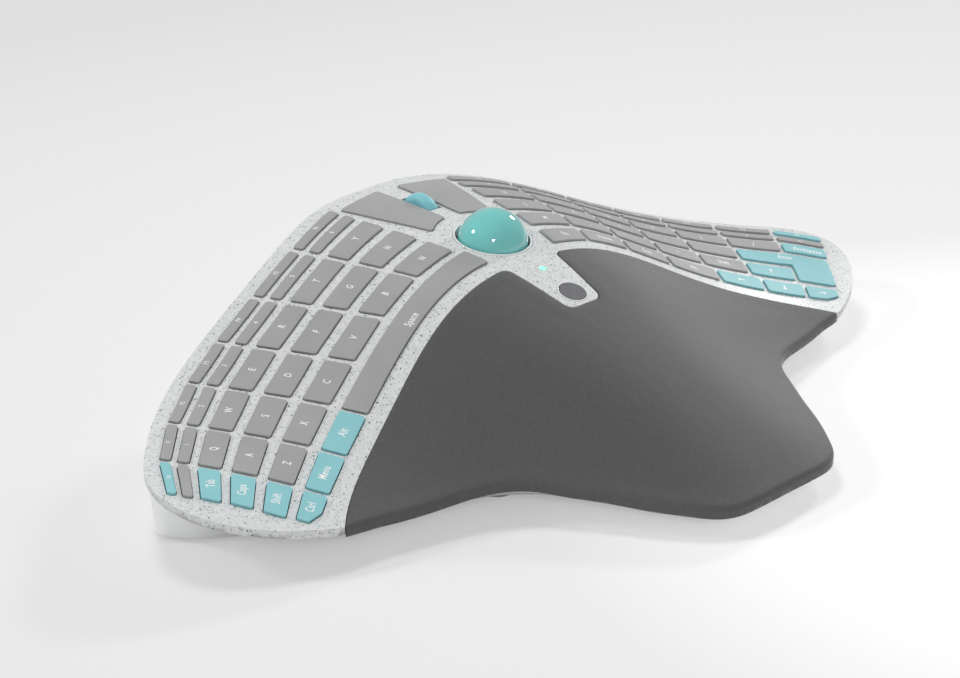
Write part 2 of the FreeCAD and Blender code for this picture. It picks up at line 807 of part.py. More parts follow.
def mouse_board():
    board = block(-board_half_width, board_half_width, board_front_y, board_back_y,
                  board_top - board_wall, board_top)
    y, gap = wheel_centre.y, carriage_clearance
    arms = centred_block((2 * arm_outside, carriage_length, crown_height), 0, y, 0, gap)
    room = centred_block((2 * arm_inside, 2 * wheel_radius + 2 * wheel_gap, crown_height), 0, y, 0)
    return board.cut([arms, room] + board_screws(screw_clearance))


def mouse_switches():
    """A switch under each mouse key and one under the lug of the wheel's fork."""
    x, y = switch_spot
    switches = []
    for side in (-1, 1):
        body = centred_block(switch_size, side * x, y, board_top)
        switches.append(body.fuse(centred_block(plunger_size, side * x, y, board_top + switch_size[2])))
    middle = centred_block((lug_reach - carriage_clearance, carriage_length - 2, plunger_size[2]),
                           -arm_outside - carriage_clearance - lug_reach / 2, wheel_centre.y, board_top)
    return Part.makeCompound(switches + [middle])


# Power button and light

def power_button():
    return tilted(button_radius - button_clearance, button_y, button_proud - button_height, button_proud)


def button_housing():
    floor = button_proud - button_height - button_travel - button_clearance
    cup = tilted(button_radius + housing_wall, button_y, floor - housing_floor, button_proud)
    return cup.cut(tilted(button_radius, button_y, floor, button_proud + 1))


def status_light():
    return tilted(light_radius, light_y, -light_length, button_proud)


# Electronics in the tray

def main_board():
    """The board on the ribs of the tray, with the charge socket soldered to its back edge."""
    middle_y = main_board_back_y - main_board_size[1] / 2
    return centred_block(main_board_size, 0, middle_y, floor_top + rib_height).fuse(charge_socket())


def board_ribs():
    width, length, height = main_board_size
    middle_y = main_board_back_y - length / 2
    return [block(side * width / 3 - rib_thickness / 2, side * width / 3 + rib_thickness / 2,
                  middle_y - length / 2, middle_y + length / 2, foot_height, floor_top + rib_height)
            for side in (-1, 1)]


def battery():
    return centred_block(battery_size, 0, battery_y, floor_top + battery_gap)


def charge_socket_block(grow=0.0):
    width, length, height = socket_size
    reach = 30 if grow else 0
    z = floor_top + rib_height + main_board_size[2]
    return block(-width / 2 - grow, width / 2 + grow, main_board_back_y - 1 - grow,
                 main_board_back_y - 1 + length + reach, z - grow, z + height + grow)


def charge_socket():
    body = charge_socket_block()
    box = body.BoundBox
    wall = socket_wall
    mouth = block(box.XMin + wall, box.XMax - wall, box.YMin + wall, box.YMax + 1,
                  box.ZMin + wall, box.ZMax - wall)
    middle = (box.ZMin + box.ZMax) / 2
    tongue = centred_block(socket_tongue, 0, box.YMin + socket_tongue[1] / 2, middle - socket_tongue[2] / 2)
    return body.cut(mouth).fuse(tongue)


def tray_screws():
    return [screw(Vec(x, y, foot_height), Z_UP, screw_length) for x, y in posts_at()]


plate_level = key_height + key_travel + stem_clearance
stem_level = plate_level + plate_wall + stem_overrun
tray_level = rest_level + rest_thickness + layer_gap
deck_level = tray_level
rim_level = shell_level + shell_wall + layer_gap
cup_level = rim_level
floor_top = foot_height + floor_wall
sensor_top = ball_centre.z - ball_radius - ball_gap - cup_wall - sensor_seat_depth
arm_inside = wheel_width / 2 + wheel_gap
arm_outside = arm_inside + carriage_wall
key_layer = layer(0, key_height)
key_room = layer(0, plate_level)


def make_parts():
    """Makes each part by node name, one at a time."""
    keys = make_keys()
    for name, group in keys.items():
        yield name, [key.solid() for key in group]
    yield "left_mouse_key", mouse_key_solid(-1)
    yield "right_mouse_key", mouse_key_solid(1)
    yield "top_shell", top_shell(keys)
    yield "left_key_plate", key_plate(keys, -1)
    yield "right_key_plate", key_plate(keys, 1)
    yield "lower_tray", lower_tray(keys)
    yield "rubber_feet", [foot(x, y) for x, y in feet_at()]
    yield "case_screws", tray_screws() + board_screws() + cup_screws()
    yield "support_bearings", [Part.makeSphere(bearing_radius, spot) for spot in bearings_at()]
    yield "ball_socket", ball_socket(keys)
    for make in (palm_rest_cover, palm_rest_foam, rest_deck, trackball, socket_ring, optical_sensor,
                 scroll_wheel, wheel_axle, wheel_carriage, wheel_encoder, mouse_board, mouse_switches,
                 power_button, button_housing, status_light, main_board, battery):
        yield make.__name__, make()


os.makedirs("parts", exist_ok=True)
for name, shape in make_parts():
    whole = Part.makeCompound(shape) if isinstance(shape, list) else shape
    whole.exportStep(f"parts/{name}.step")
    box = whole.BoundBox
    print(f"{name:24} solids {len(whole.Solids):2} valid {whole.isValid()} volume {whole.Volume:9.0f}"
          f"  z {box.ZMin:6.1f} to {box.ZMax:6.1f}", flush=True)
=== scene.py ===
# %% [markdown]
# # An arched keyboard with a trackball
# The keyboard is one curved body. Two key wings sweep down from a crown that holds a ball and a
# wheel, and a soft palm rest fills the space between the wings. The solid parts come from a
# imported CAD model, which is loaded here as a fixed frame. Everything after it adds looks:
# rounded edges, legends, the palm rest's skin, materials, light and a camera.

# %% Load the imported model
import json
import math
import bmesh
import bpy
from mathutils import Matrix, Vector
from mathutils.bvhtree import BVHTree
from mathutils.kdtree import KDTree

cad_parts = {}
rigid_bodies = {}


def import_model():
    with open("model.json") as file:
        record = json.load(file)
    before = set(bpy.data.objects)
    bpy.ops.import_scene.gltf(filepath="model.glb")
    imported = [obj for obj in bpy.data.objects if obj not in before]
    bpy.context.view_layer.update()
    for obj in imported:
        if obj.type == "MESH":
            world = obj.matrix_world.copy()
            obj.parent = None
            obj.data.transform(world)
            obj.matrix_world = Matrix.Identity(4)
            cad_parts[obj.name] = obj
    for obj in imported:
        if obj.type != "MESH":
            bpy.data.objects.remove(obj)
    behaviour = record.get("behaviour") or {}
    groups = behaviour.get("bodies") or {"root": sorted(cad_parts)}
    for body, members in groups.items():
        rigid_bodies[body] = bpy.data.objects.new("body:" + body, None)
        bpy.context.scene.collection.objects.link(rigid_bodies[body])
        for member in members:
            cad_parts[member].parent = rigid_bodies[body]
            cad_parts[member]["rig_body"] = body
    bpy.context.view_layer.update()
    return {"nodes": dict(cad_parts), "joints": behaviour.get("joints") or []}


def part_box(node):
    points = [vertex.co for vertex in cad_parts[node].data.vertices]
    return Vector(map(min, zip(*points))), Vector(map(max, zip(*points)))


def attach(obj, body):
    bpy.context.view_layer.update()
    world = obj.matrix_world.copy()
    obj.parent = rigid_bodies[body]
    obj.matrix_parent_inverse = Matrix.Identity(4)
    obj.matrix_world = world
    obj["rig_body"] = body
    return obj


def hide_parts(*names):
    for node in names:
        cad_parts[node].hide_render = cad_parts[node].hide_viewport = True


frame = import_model()
nodes = frame["nodes"]
MM = 0.001

# %% [markdown]
# ## The camera
# The photograph looks down at the left wing from the front left. Its place was worked out from
# the mirror symmetry of the keyboard, so that the two wings line up at once. A long lens keeps
# the far wing from shrinking too much.

# %% Place the camera
IMAGE_WIDTH = 960
FOCAL_PIXELS = 1946.2
camera_data = bpy.data.cameras.new("camera")
camera_data.sensor_width = 36.0
camera_data.lens = FOCAL_PIXELS / IMAGE_WIDTH * camera_data.sensor_width
camera_data.clip_end = 50.0
camera = bpy.data.objects.new("camera", camera_data)
camera.location = (-0.5348, -0.5055, 0.3474)
camera.rotation_euler = (math.radians(67.0), 0, math.radians(-43.9))
bpy.context.scene.collection.objects.link(camera)
bpy.context.scene.camera = camera
print("lens", round(camera_data.lens, 2), "mm")

# %% [markdown]
# ## Helpers for materials
# Every finish starts from one physically based shader. A finish is made real by small changes
# over the surface: a grain that bends the light, and a colour that drifts a little. Both read
# the object's own coordinates, which are metres here, so a scale of 1000 repeats each
# millimetre.

# %% Helpers for materials
def srgb(red, green, blue):
    """A colour as it is read off a screen, from 0 to 255, turned into the linear values of a shader."""
    def linear(value):
        value /= 255
        return value / 12.92 if value <= 0.04045 else ((value + 0.055) / 1.055) ** 2.4
    return (linear(red), linear(green), linear(blue), 1.0)


def shader_of(material):
    """The physically based shader of a material."""
    return material.node_tree.nodes["Principled BSDF"]


def new_material(name, colour, roughness, **sockets):
    """A material with one physically based shader. Other sockets are named with underscores."""
    made = bpy.data.materials.new(name)
    made.use_nodes = True
    shader = shader_of(made)
    shader.inputs["Base Color"].default_value = colour
    shader.inputs["Roughness"].default_value = roughness
    for socket, value in sockets.items():
        shader.inputs[socket.replace("_", " ")].default_value = value
    made.diffuse_color = colour
    return made


def add_node(material, kind, **settings):
    """A new node, with its settings put on sockets where they have such names."""
    node = material.node_tree.nodes.new(kind)
    for name, value in settings.items():
        if name in node.inputs:
            node.inputs[name].default_value = value
        else:
            setattr(node, name, value)
    return node


def join(material, output, target):
    """Links two sockets."""
    material.node_tree.links.new(output, target)


def noise(material, scale, detail=2.0):
    """Soft cloudy noise on the object's coordinates."""
    place = add_node(material, "ShaderNodeTexCoord")
    cloud = add_node(material, "ShaderNodeTexNoise", Scale=scale, Detail=detail)
    join(material, place.outputs["Object"], cloud.inputs["Vector"])
    return cloud


def add_grain(material, scale, depth, detail=2.0):
    """Tiny bumps, a given number per metre, depth in metres."""
    cloud = noise(material, scale, detail)
    bump = add_node(material, "ShaderNodeBump", Strength=1.0, Distance=depth)
    join(material, cloud.outputs["Fac"], bump.inputs["Height"])
    join(material, bump.outputs["Normal"], shader_of(material).inputs["Normal"])


def add_drift(material, scale, low, high, low_at=0.3, high_at=0.7):
    """Lets the colour drift between two colours over the surface."""
    cloud = noise(material, scale)
    ramp = add_node(material, "ShaderNodeValToRGB")
    ramp.color_ramp.elements[0].position = low_at
    ramp.color_ramp.elements[1].position = high_at
    ramp.color_ramp.elements[0].color = low
    ramp.color_ramp.elements[1].color = high
    join(material, cloud.outputs["Fac"], ramp.inputs["Fac"])
    join(material, ramp.outputs["Color"], shader_of(material).inputs["Base Color"])
    return ramp


print("helpers for materials are ready")

# %% [markdown]
# ## Speckled shell
# The shell is off-white plastic with fine chips of dark grey and teal pressed into it, like
# terrazzo. A Voronoi texture splits space into cells. Each cell carries a random colour: one
# channel decides whether the cell holds a chip, another decides which of the tones it gets. The
# coordinates are shaken with noise first, so that the chips are splinters and not round dots.

# %% Make the speckled plastic
speckled = new_material("speckled_shell", srgb(215, 216, 216), 0.4)


def add_chips(material, scale, size, share, ground):
    """Lays chips over a ground colour: cells per metre, chip radius in cells, share of cells used."""
    place = add_node(material, "ShaderNodeTexCoord")
    shake = add_node(material, "ShaderNodeTexNoise", Scale=scale * 1.6, Detail=1.0)
    join(material, place.outputs["Object"], shake.inputs["Vector"])
    moved = add_node(material, "ShaderNodeVectorMath", operation="MULTIPLY_ADD")
    moved.inputs[1].default_value = (1.1 / scale,) * 3
    join(material, shake.outputs["Color"], moved.inputs[0])
    join(material, place.outputs["Object"], moved.inputs[2])
    cells = add_node(material, "ShaderNodeTexVoronoi", Scale=scale)
    join(material, moved.outputs[0], cells.inputs["Vector"])
    near = add_node(material, "ShaderNodeMath", operation="LESS_THAN")
    near.inputs[1].default_value = size
    join(material, cells.outputs["Distance"], near.inputs[0])
    split = add_node(material, "ShaderNodeSeparateColor")
    join(material, cells.outputs["Color"], split.inputs["Color"])
    used = add_node(material, "ShaderNodeMath", operation="LESS_THAN")
    used.inputs[1].default_value = share
    join(material, split.outputs["Red"], used.inputs[0])
    mask = add_node(material, "ShaderNodeMath", operation="MULTIPLY")
    join(material, near.outputs[0], mask.inputs[0])
    join(material, used.outputs[0], mask.inputs[1])
    tones = add_node(material, "ShaderNodeValToRGB")
    tones.color_ramp.interpolation = "CONSTANT"
    steps = tones.color_ramp.elements
    steps[0].color, steps[0].position = srgb(134, 140, 142), 0.0
    steps[1].color, steps[1].position = srgb(172, 178, 179), 0.30
    for position, tone in ((0.72, srgb(140, 178, 177)), (0.86, srgb(94, 102, 106))):
        steps.new(position).color = tone
    join(material, split.outputs["Green"], tones.inputs["Fac"])
    mix = add_node(material, "ShaderNodeMix", data_type="RGBA")
    join(material, mask.outputs[0], mix.inputs["Factor"])
    join(material, ground, mix.inputs[6])
    join(material, tones.outputs["Color"], mix.inputs[7])
    return mix.outputs[2]


LARGE_CHIPS, SMALL_CHIPS = (850.0, 0.34, 0.22), (1500.0, 0.38, 0.24)
ground = add_drift(speckled, 500.0, srgb(208, 211, 211), srgb(222, 222, 222)).outputs["Color"]
for scale, size, share in (LARGE_CHIPS, SMALL_CHIPS):
    ground = add_chips(speckled, scale, size, share, ground)
join(speckled, ground, shader_of(speckled).inputs["Base Color"])
add_grain(speckled, 9000.0, 0.000004)
print("speckled shell has", len(speckled.node_tree.nodes), "nodes")

# %% [markdown]
# ## Key plastics
# Keycaps are moulded in matt plastic with a fine spark-eroded grain. Grey and teal caps differ
# only in pigment, so one function makes both. The drift is weak: on a real cap it is the trace
# of fingers and of the flow of plastic in the mould.

# %% Make the key plastics
def key_plastic(name, low, high):
    """Matt grained plastic that drifts between two tones."""
    made = new_material(name, low, 0.52, Specular_IOR_Level=0.42)
    add_drift(made, 45.0, low, high)
    add_grain(made, 5200.0, 0.000012, detail=3.0)
    return made


grey_key = key_plastic("grey_keycap", srgb(158, 158, 158), srgb(164, 164, 164))
teal_key = key_plastic("teal_keycap", srgb(134, 194, 200), srgb(141, 199, 205))
legend_white = new_material("legend_ink", srgb(240, 241, 241), 0.45)
add_grain(legend_white, 8000.0, 0.000003)
print("key plastics made")

# %% [markdown]
# ## The other finishes
# The ball is polished and has a clear coat, so lamps show in it as small bright spots. The
# wheel is the same teal in satin rubber. The palm rest has a dark grey skin with a leather-like
# grain and a little sheen, which makes it lighter where one looks along it. The tray is white
# plastic, the ring is white too but shines, and the light pipe glows mint. Parts inside and
# underneath get plain workshop finishes, such as steel, green board, black plastic and rubber.

# %% Make the other finishes
gloss_teal = new_material("gloss_teal", srgb(115, 203, 199), 0.07, Coat_Weight=1.0, Coat_Roughness=0.03)
add_drift(gloss_teal, 120.0, srgb(113, 201, 197), srgb(119, 206, 202))
add_grain(gloss_teal, 900.0, 0.0000008)

wheel_teal = new_material("wheel_rubber", srgb(128, 197, 207), 0.5, Sheen_Weight=0.2)
add_drift(wheel_teal, 200.0, srgb(125, 194, 204), srgb(132, 201, 211))
add_grain(wheel_teal, 4200.0, 0.00001)

rest_skin = new_material("palm_rest_skin", srgb(80, 80, 80), 0.66, Sheen_Weight=0.26, Sheen_Roughness=0.4)
add_drift(rest_skin, 700.0, srgb(78, 78, 78), srgb(83, 83, 83), 0.35, 0.65)
add_grain(rest_skin, 1500.0, 0.00003, detail=4.0)

rest_foam = new_material("foam", srgb(70, 70, 72), 0.95)
add_drift(rest_foam, 800.0, srgb(58, 58, 60), srgb(82, 82, 84))
add_grain(rest_foam, 1200.0, 0.0002, detail=5.0)

tray_white = new_material("tray_white", srgb(240, 241, 241), 0.4)
add_drift(tray_white, 40.0, srgb(237, 238, 238), srgb(243, 244, 244))
add_grain(tray_white, 3000.0, 0.000008)

ring_white = new_material("ring_white", srgb(228, 229, 229), 0.16, Coat_Weight=0.7)
add_drift(ring_white, 150.0, srgb(225, 226, 226), srgb(231, 232, 232))
add_grain(ring_white, 1500.0, 0.000001)

button_grey = new_material("button_grey", srgb(98, 99, 103), 0.4)
add_drift(button_grey, 300.0, srgb(95, 96, 100), srgb(102, 103, 107))
add_grain(button_grey, 6000.0, 0.000008)

light_mint = new_material("light_pipe", srgb(146, 236, 208), 0.25, Emission_Color=srgb(132, 240, 200),
                          Emission_Strength=0.6)
add_drift(light_mint, 600.0, srgb(138, 232, 202), srgb(160, 240, 216))
add_grain(light_mint, 2000.0, 0.000002)


def plain_finish(name, colour, darker, roughness, grain, depth, metallic=0.0):
    """A workshop finish for a part inside the casing."""
    made = new_material(name, colour, roughness, Metallic=metallic)
    add_drift(made, grain / 40, darker, colour)
    add_grain(made, grain, depth)
    return made


inner_black = plain_finish("inner_black", srgb(62, 62, 64), srgb(52, 52, 54), 0.6, 4000.0, 0.00001)
plate_metal = plain_finish("plate_metal", srgb(190, 192, 195), srgb(172, 174, 178), 0.35, 1500.0,
                           0.00001, 1.0)
steel = plain_finish("steel", srgb(196, 197, 200), srgb(180, 181, 184), 0.25, 3000.0, 0.000004, 1.0)
board_green = plain_finish("board_green", srgb(38, 92, 66), srgb(30, 78, 56), 0.35, 900.0, 0.00002)
battery_wrap = plain_finish("battery_wrap", srgb(118, 126, 146), srgb(106, 114, 134), 0.3, 400.0, 0.00003)
foot_rubber = plain_finish("foot_rubber", srgb(186, 187, 188), srgb(178, 179, 180), 0.75, 3500.0, 0.00002)
print("finishes:", len(bpy.data.materials))

# %% [markdown]
# ## Rounding the edges of a CAD part
# The CAD model has sharp edges, but moulded plastic never has: each edge catches a thin line of
# light. A CAD node may not be changed, so it is copied. The copy's loose triangles are joined
# first, because a bevel only works on edges that two faces share. Which edges are rounded is
# decided by a test, so that hidden ribs and stems stay as they are. A rounded edge would tint
# the long triangles beside it, so the Weighted Normal modifier lets the large faces decide how
# a corner is shaded. A soft piece, which is smooth nearly all over, does without it.

# %% Helpers for rounding copies
MERGE_WITHIN, WELD_WITHIN = 0.000002, 0.000001


def body_of(node):
    """The moving body that a CAD node belongs to."""
    return nodes[node]["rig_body"]


def merged_copy(node):
    """The mesh of a CAD node with its loose triangles joined."""
    shape = bmesh.new()
    shape.from_mesh(nodes[node].data)
    bmesh.ops.remove_doubles(shape, verts=shape.verts, dist=MERGE_WITHIN)
    bmesh.ops.dissolve_degenerate(shape, dist=MERGE_WITHIN, edges=shape.edges)
    shape.normal_update()
    return shape


def is_sharp(edge, degrees=35.0):
    """Tells whether the two faces of an edge meet at an angle."""
    return len(edge.link_faces) == 2 and edge.calc_face_angle(0.0) > math.radians(degrees)


def round_edges(shape, edges, width, segments=3):
    """Rounds edges of a bmesh by a width in metres."""
    bmesh.ops.bevel(shape, geom=edges, offset=width, offset_type="OFFSET", affect="EDGES",
                    segments=segments, profile=0.5, material=-1, clamp_overlap=True)
    shape.normal_update()


def finish_piece(shape, name, material, body, replaced=(), smooth_degrees=40.0):
    """Turns a bmesh into a piece that rides on a body and stands for CAD nodes."""
    mesh = bpy.data.meshes.new(name)
    shape.to_mesh(mesh)
    shape.free()
    mesh.materials.append(material)
    mesh.polygons.foreach_set("use_smooth", [True] * len(mesh.polygons))
    mesh.set_sharp_from_angle(angle=math.radians(smooth_degrees))
    piece = bpy.data.objects.new(name, mesh)
    bpy.context.scene.collection.objects.link(piece)
    if smooth_degrees < 60:
        shading = piece.modifiers.new("even_shading", "WEIGHTED_NORMAL")
        shading.keep_sharp = True
    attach(piece, body)
    if replaced:
        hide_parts(*replaced)
    return piece


print("rounding helpers are ready")

# %% [markdown]
# ## The keycaps
# A keycap's top is a piece of the keyboard's curved skin, and its stem slides in a plate inside.
# The top edge is rounded by about half a millimetre. Only edges between the top and a side are
# chosen: one of their two faces looks along the key's travel. The travel comes from the joint of
# the key's body, so this works for flat keys and for the steep ones at the tips alike.

# %% Round the keycaps
KEY_ROUNDING = 0.55 * MM
travel = {joint["child"]: -Vector(joint["axis"]).normalized() for joint in frame["joints"]
          if joint["type"] == "slide"}
teal_nodes = {"escape_key", "tab_key", "caps_key", "left_shift_key", "control_key", "menu_key", "alt_key",
              "delete_key", "backspace_key", "enter_key", "arrow_left_key", "arrow_right_key",
              "arrow_up_key", "arrow_down_key"}
key_nodes = sorted(name for name in nodes
                   if name.endswith("_key") or "_keys_" in name or name.startswith("thumb_key"))


def top_edges(shape, up, lean=0.55):
    """Sharp edges between a top face and a side. A larger lean lets both faces tilt more."""
    found = []
    for edge in shape.edges:
        if not is_sharp(edge):
            continue
        first, second = (face.normal.dot(up) for face in edge.link_faces)
        if max(first, second) > 1 - lean / 2 and min(first, second) < lean and min(first, second) > -lean:
            found.append(edge)
    return found


keycaps = {}
for node in key_nodes:
    up = travel.get(body_of(node), Vector((0, 0, 1)))
    shape = merged_copy(node)
    chosen = top_edges(shape, up)
    round_edges(shape, chosen, KEY_ROUNDING)
    material = teal_key if node in teal_nodes else grey_key
    keycaps[node] = finish_piece(shape, node + "_cap", material, body_of(node), [node])
print("keycaps:", len(keycaps), "triangles:", sum(len(p.data.loop_triangles) for p in keycaps.values()))

# %% [markdown]
# ## Where each legend goes
# A column's keys are separate islands of one mesh. Each island gets a small frame: the middle
# of its top, the direction across the key and the direction towards the back. The rows fan out
# towards the tips, which gives a first guess of the key's turn in plan. Angles round the guess
# are tried, and the one whose box round the top is smallest is kept.

# %% Find the islands and their frames
FAN_DEGREES, FAN_REACH, FAN_POWER, FAN_SEARCH = 52, 175 * MM, 1.6, 16
FACING_UP, TOP_BAND = 0.9, 4 * MM


def islands(mesh, up):
    """The separate keys of a mesh, back to front, as lists of top corner points."""
    shape = bmesh.new()
    shape.from_mesh(mesh)
    seen, found = set(), []
    for start in shape.verts:
        if start.index in seen:
            continue
        seen.add(start.index)
        stack, tops = [start], []
        while stack:
            vertex = stack.pop()
            if any(face.normal.dot(up) > FACING_UP for face in vertex.link_faces):
                tops.append(vertex.co.copy())
            for edge in vertex.link_edges:
                other = edge.other_vert(vertex)
                if other.index not in seen:
                    seen.add(other.index)
                    stack.append(other)
        if tops:
            highest = max(point.dot(up) for point in tops)
            found.append([point for point in tops if point.dot(up) > highest - TOP_BAND])
    shape.free()
    return sorted(found, key=lambda points: -sum(p.y for p in points) / len(points))


def key_frame(points, up):
    """Middle, direction across, direction back and depth of a key's top."""
    best = None
    x = sum(p.x for p in points) / len(points)
    guess = math.copysign(FAN_DEGREES * (abs(x) / FAN_REACH) ** FAN_POWER, x)
    for step in range(-FAN_SEARCH, FAN_SEARCH + 1):
        turn = math.radians(guess + step)
        back = Vector((math.sin(turn), math.cos(turn), 0))
        across = back.cross(up).normalized()
        back = up.cross(across)
        along = [p.dot(across) for p in points]
        ahead = [p.dot(back) for p in points]
        area = (max(along) - min(along)) * (max(ahead) - min(ahead))
        if best is None or area < best[0]:
            height = sum(p.dot(up) for p in points) / len(points)
            middle = (across * (max(along) + min(along)) / 2 + back * (max(ahead) + min(ahead)) / 2
                      + up * height)
            best = (area, middle, across, back, max(ahead) - min(ahead))
    return best[1:]


print("island helpers are ready")

# %% [markdown]
# ## The legends
# A key carries a letter, a sign, a plain word or an arrow, and one key is blank. The words of a
# column run from the back row to the front. An arrow is written as its turn in degrees from
# pointing back. Three words stand off the middle of their key, by a nudge in millimetres across
# it and towards the back.

# %% Write down the words
legends = {
    "left_keys_column_6": ("F1", "1", "Q", "A", "Z"), "left_keys_column_5": ("F2", "2", "W", "S", "X"),
    "left_keys_column_4": ("F3", "3", "E", "D", "C"), "left_keys_column_3": ("F4", "4", "R", "F", "V"),
    "left_keys_column_2": ("F5", "5", "T", "G", "B"), "left_keys_column_1": ("F6", "6", "Y", "H", "N"),
    "right_keys_column_1": ("F7", "7", "U", "J", "M"), "right_keys_column_2": ("F8", "8", "I", "K", ","),
    "right_keys_column_3": ("F9", "9", "O", "L", "."), "right_keys_column_4": ("F10", "0", "P", ";", "/"),
    "right_keys_column_5": ("F11", "-", "[", "'", "Shift"), "right_keys_column_6": ("F12", "=", "]"),
    "escape_key": ("Esc",), "tab_key": ("Tab",), "caps_key": ("Caps",),
    "left_shift_key": ("Shift",), "control_key": ("Ctrl",), "menu_key": ("Menu",), "alt_key": ("Alt",),
    "space_key": ("Space",), "delete_key": ("Del",), "right_blank_key": ("Ins",),
    "backspace_key": ("Backspace",), "enter_key": ("Enter",), "thumb_key_1": ("Fn",),
    "thumb_key_2": ("Home",), "thumb_key_3": ("End",), "thumb_key_4": ("Alt",),
    "arrow_left_key": (90,), "arrow_down_key": (180,), "arrow_right_key": (-90,), "arrow_up_key": (0,),
}
nudges = {"enter_key": (0.2, 8.0), "space_key": (9.8, 0.0), "backspace_key": (1.6, 0.0)}
print("words and arrows:", sum(len(words) for words in legends.values()))

# %% [markdown]
# Letters are narrow and sans serif. A letter starts as a text object, which has the outline of
# its font, and is made into a mesh before anything moves it. Squeezing its width makes it
# narrow. An arrow is one flat face of seven corners, pulled up to the thickness of the ink.

# %% Shape letters and arrows
INK_DEPTH, INK_PROUD = 0.10 * MM, 0.03 * MM
LETTER_SIZE, WORD_SIZE, ARROW_SIZE = 4.4 * MM, 4.6 * MM, 4.0 * MM
CONDENSED, BOLDER, SPACED = 0.66, 0.012, 1.08
ARROW = ((-0.07, -0.45), (0.07, -0.45), (0.07, 0.10), (0.26, 0.10), (0.0, 0.45), (-0.26, 0.10),
         (-0.07, 0.10))


def shape_of(holder):
    """The evaluated mesh of a temporary object, as a bmesh. The object is removed."""
    bpy.context.scene.collection.objects.link(holder)
    bpy.context.view_layer.update()
    graph = bpy.context.evaluated_depsgraph_get()
    mesh = bpy.data.meshes.new_from_object(holder.evaluated_get(graph))
    bpy.data.objects.remove(holder)
    shape = bmesh.new()
    shape.from_mesh(mesh)
    bpy.data.meshes.remove(mesh)
    return shape


def text_mesh(words, size):
    """Flat letters with a little thickness, as a bmesh centred on the origin."""
    curve = bpy.data.curves.new("letters", "FONT")
    curve.body = words
    curve.size = size
    curve.align_x = "CENTER"
    curve.align_y = "CENTER"
    curve.extrude = (INK_DEPTH + INK_PROUD) / 2
    curve.offset = BOLDER * size
    curve.space_character = SPACED
    curve.resolution_u = 3
    letters = shape_of(bpy.data.objects.new("letters", curve))
    bmesh.ops.remove_doubles(letters, verts=letters.verts, dist=WELD_WITHIN)
    bmesh.ops.scale(letters, vec=(CONDENSED, 1, 1), verts=letters.verts)
    return letters


def arrow_mesh(turn, size):
    """A flat arrow with a little thickness, turned by some degrees from pointing back."""
    arrow = bmesh.new()
    thickness = INK_DEPTH + INK_PROUD
    face = arrow.faces.new([arrow.verts.new((x * size, y * size, -thickness / 2)) for x, y in ARROW])
    pulled = bmesh.ops.extrude_face_region(arrow, geom=[face])["geom"]
    upper = [corner for corner in pulled if isinstance(corner, bmesh.types.BMVert)]
    bmesh.ops.translate(arrow, vec=(0, 0, thickness), verts=upper)
    bmesh.ops.rotate(arrow, matrix=Matrix.Rotation(math.radians(turn), 3, "Z"), verts=arrow.verts)
    bmesh.ops.recalc_face_normals(arrow, faces=arrow.faces)
    return arrow


print("letters", round(LETTER_SIZE * 1000, 1), "mm, arrows", round(ARROW_SIZE * 1000, 1), "mm")

# %% [markdown]
# The ink is laid on its key: every vertex is dropped along the travel onto the cap, so a long
# word follows the curve. All of it stands three hundredths of a millimetre proud, as thick ink
# does, and reaches a little into the cap, so that no gap shows. The legends of a node are one
# piece that rides on the same body as its caps.

# %% Print the legends
DROP_FROM, DEPTH_SHARE = 6 * MM, 0.62


def lay_down(letters, place, up, surface):
    """Lays letters on a surface round a key frame."""
    middle, across, back = place
    for vertex in letters.verts:
        spot = middle + across * vertex.co.x + back * vertex.co.y
        hit = surface.ray_cast(spot + up * DROP_FROM, -up)[0]
        foot = hit if hit is not None else spot
        rise = INK_PROUD if vertex.co.z > 0 else -INK_DEPTH
        vertex.co = foot + up * rise


printed = 0
for node, words in legends.items():
    up = travel[body_of(node)]
    surface_mesh = bmesh.new()
    surface_mesh.from_mesh(keycaps[node].data)
    surface = BVHTree.FromBMesh(surface_mesh)
    surface_mesh.free()
    page = bmesh.new()
    for points, word in zip(islands(keycaps[node].data, up), words):
        middle, across, back, depth = key_frame(points, up)
        nudge = nudges.get(node, (0, 0))
        middle = middle + across * nudge[0] * MM + back * nudge[1] * MM
        if isinstance(word, int):
            letters = arrow_mesh(word, ARROW_SIZE)
        else:
            size = LETTER_SIZE if len(word) == 1 else WORD_SIZE
            letters = text_mesh(word, min(size, depth * DEPTH_SHARE))
        lay_down(letters, (middle, across, back), up, surface)
        held = bpy.data.meshes.new("held")
        letters.to_mesh(held)
        letters.free()
        page.from_mesh(held)
        bpy.data.meshes.remove(held)
        printed += 1
    finish_piece(page, node + "_legend", legend_white, body_of(node))
print("legends printed:", printed)

# %% [markdown]
# ## The shell
# The shell is one thin curved sheet with a hole for each key. Its outer edge rolls over softly,
# the edges of the holes stay crisp under the keycaps. Sharp edges on the upper side are chained
# into loops: the longest loop is the shell's own contour and gets the wide rounding.

# %% Round the shell
RIM_ROUNDING, STEEP_LEAN = 2.7 * MM, 0.85


def edge_loops(edges):
    """Groups edges that share vertices, longest group first."""
    waiting, loops = set(edges), []
    while waiting:
        stack, loop = [waiting.pop()], []
        while stack:
            edge = stack.pop()
            loop.append(edge)
            for vertex in edge.verts:
                for other in vertex.link_edges:
                    if other in waiting:
                        waiting.discard(other)
                        stack.append(other)
        loops.append(loop)
    return sorted(loops, key=lambda loop: -sum(edge.calc_length() for edge in loop))


shape = merged_copy("top_shell")
loops = edge_loops(top_edges(shape, Vector((0, 0, 1)), STEEP_LEAN))
print("shell loops:", len(loops), "longest:", round(sum(e.calc_length() for e in loops[0]), 3))
round_edges(shape, loops[0], RIM_ROUNDING, segments=4)
shell = finish_piece(shape, "speckled_top_shell", speckled, "casing", ["top_shell"])
print("shell faces:", len(shell.data.polygons))

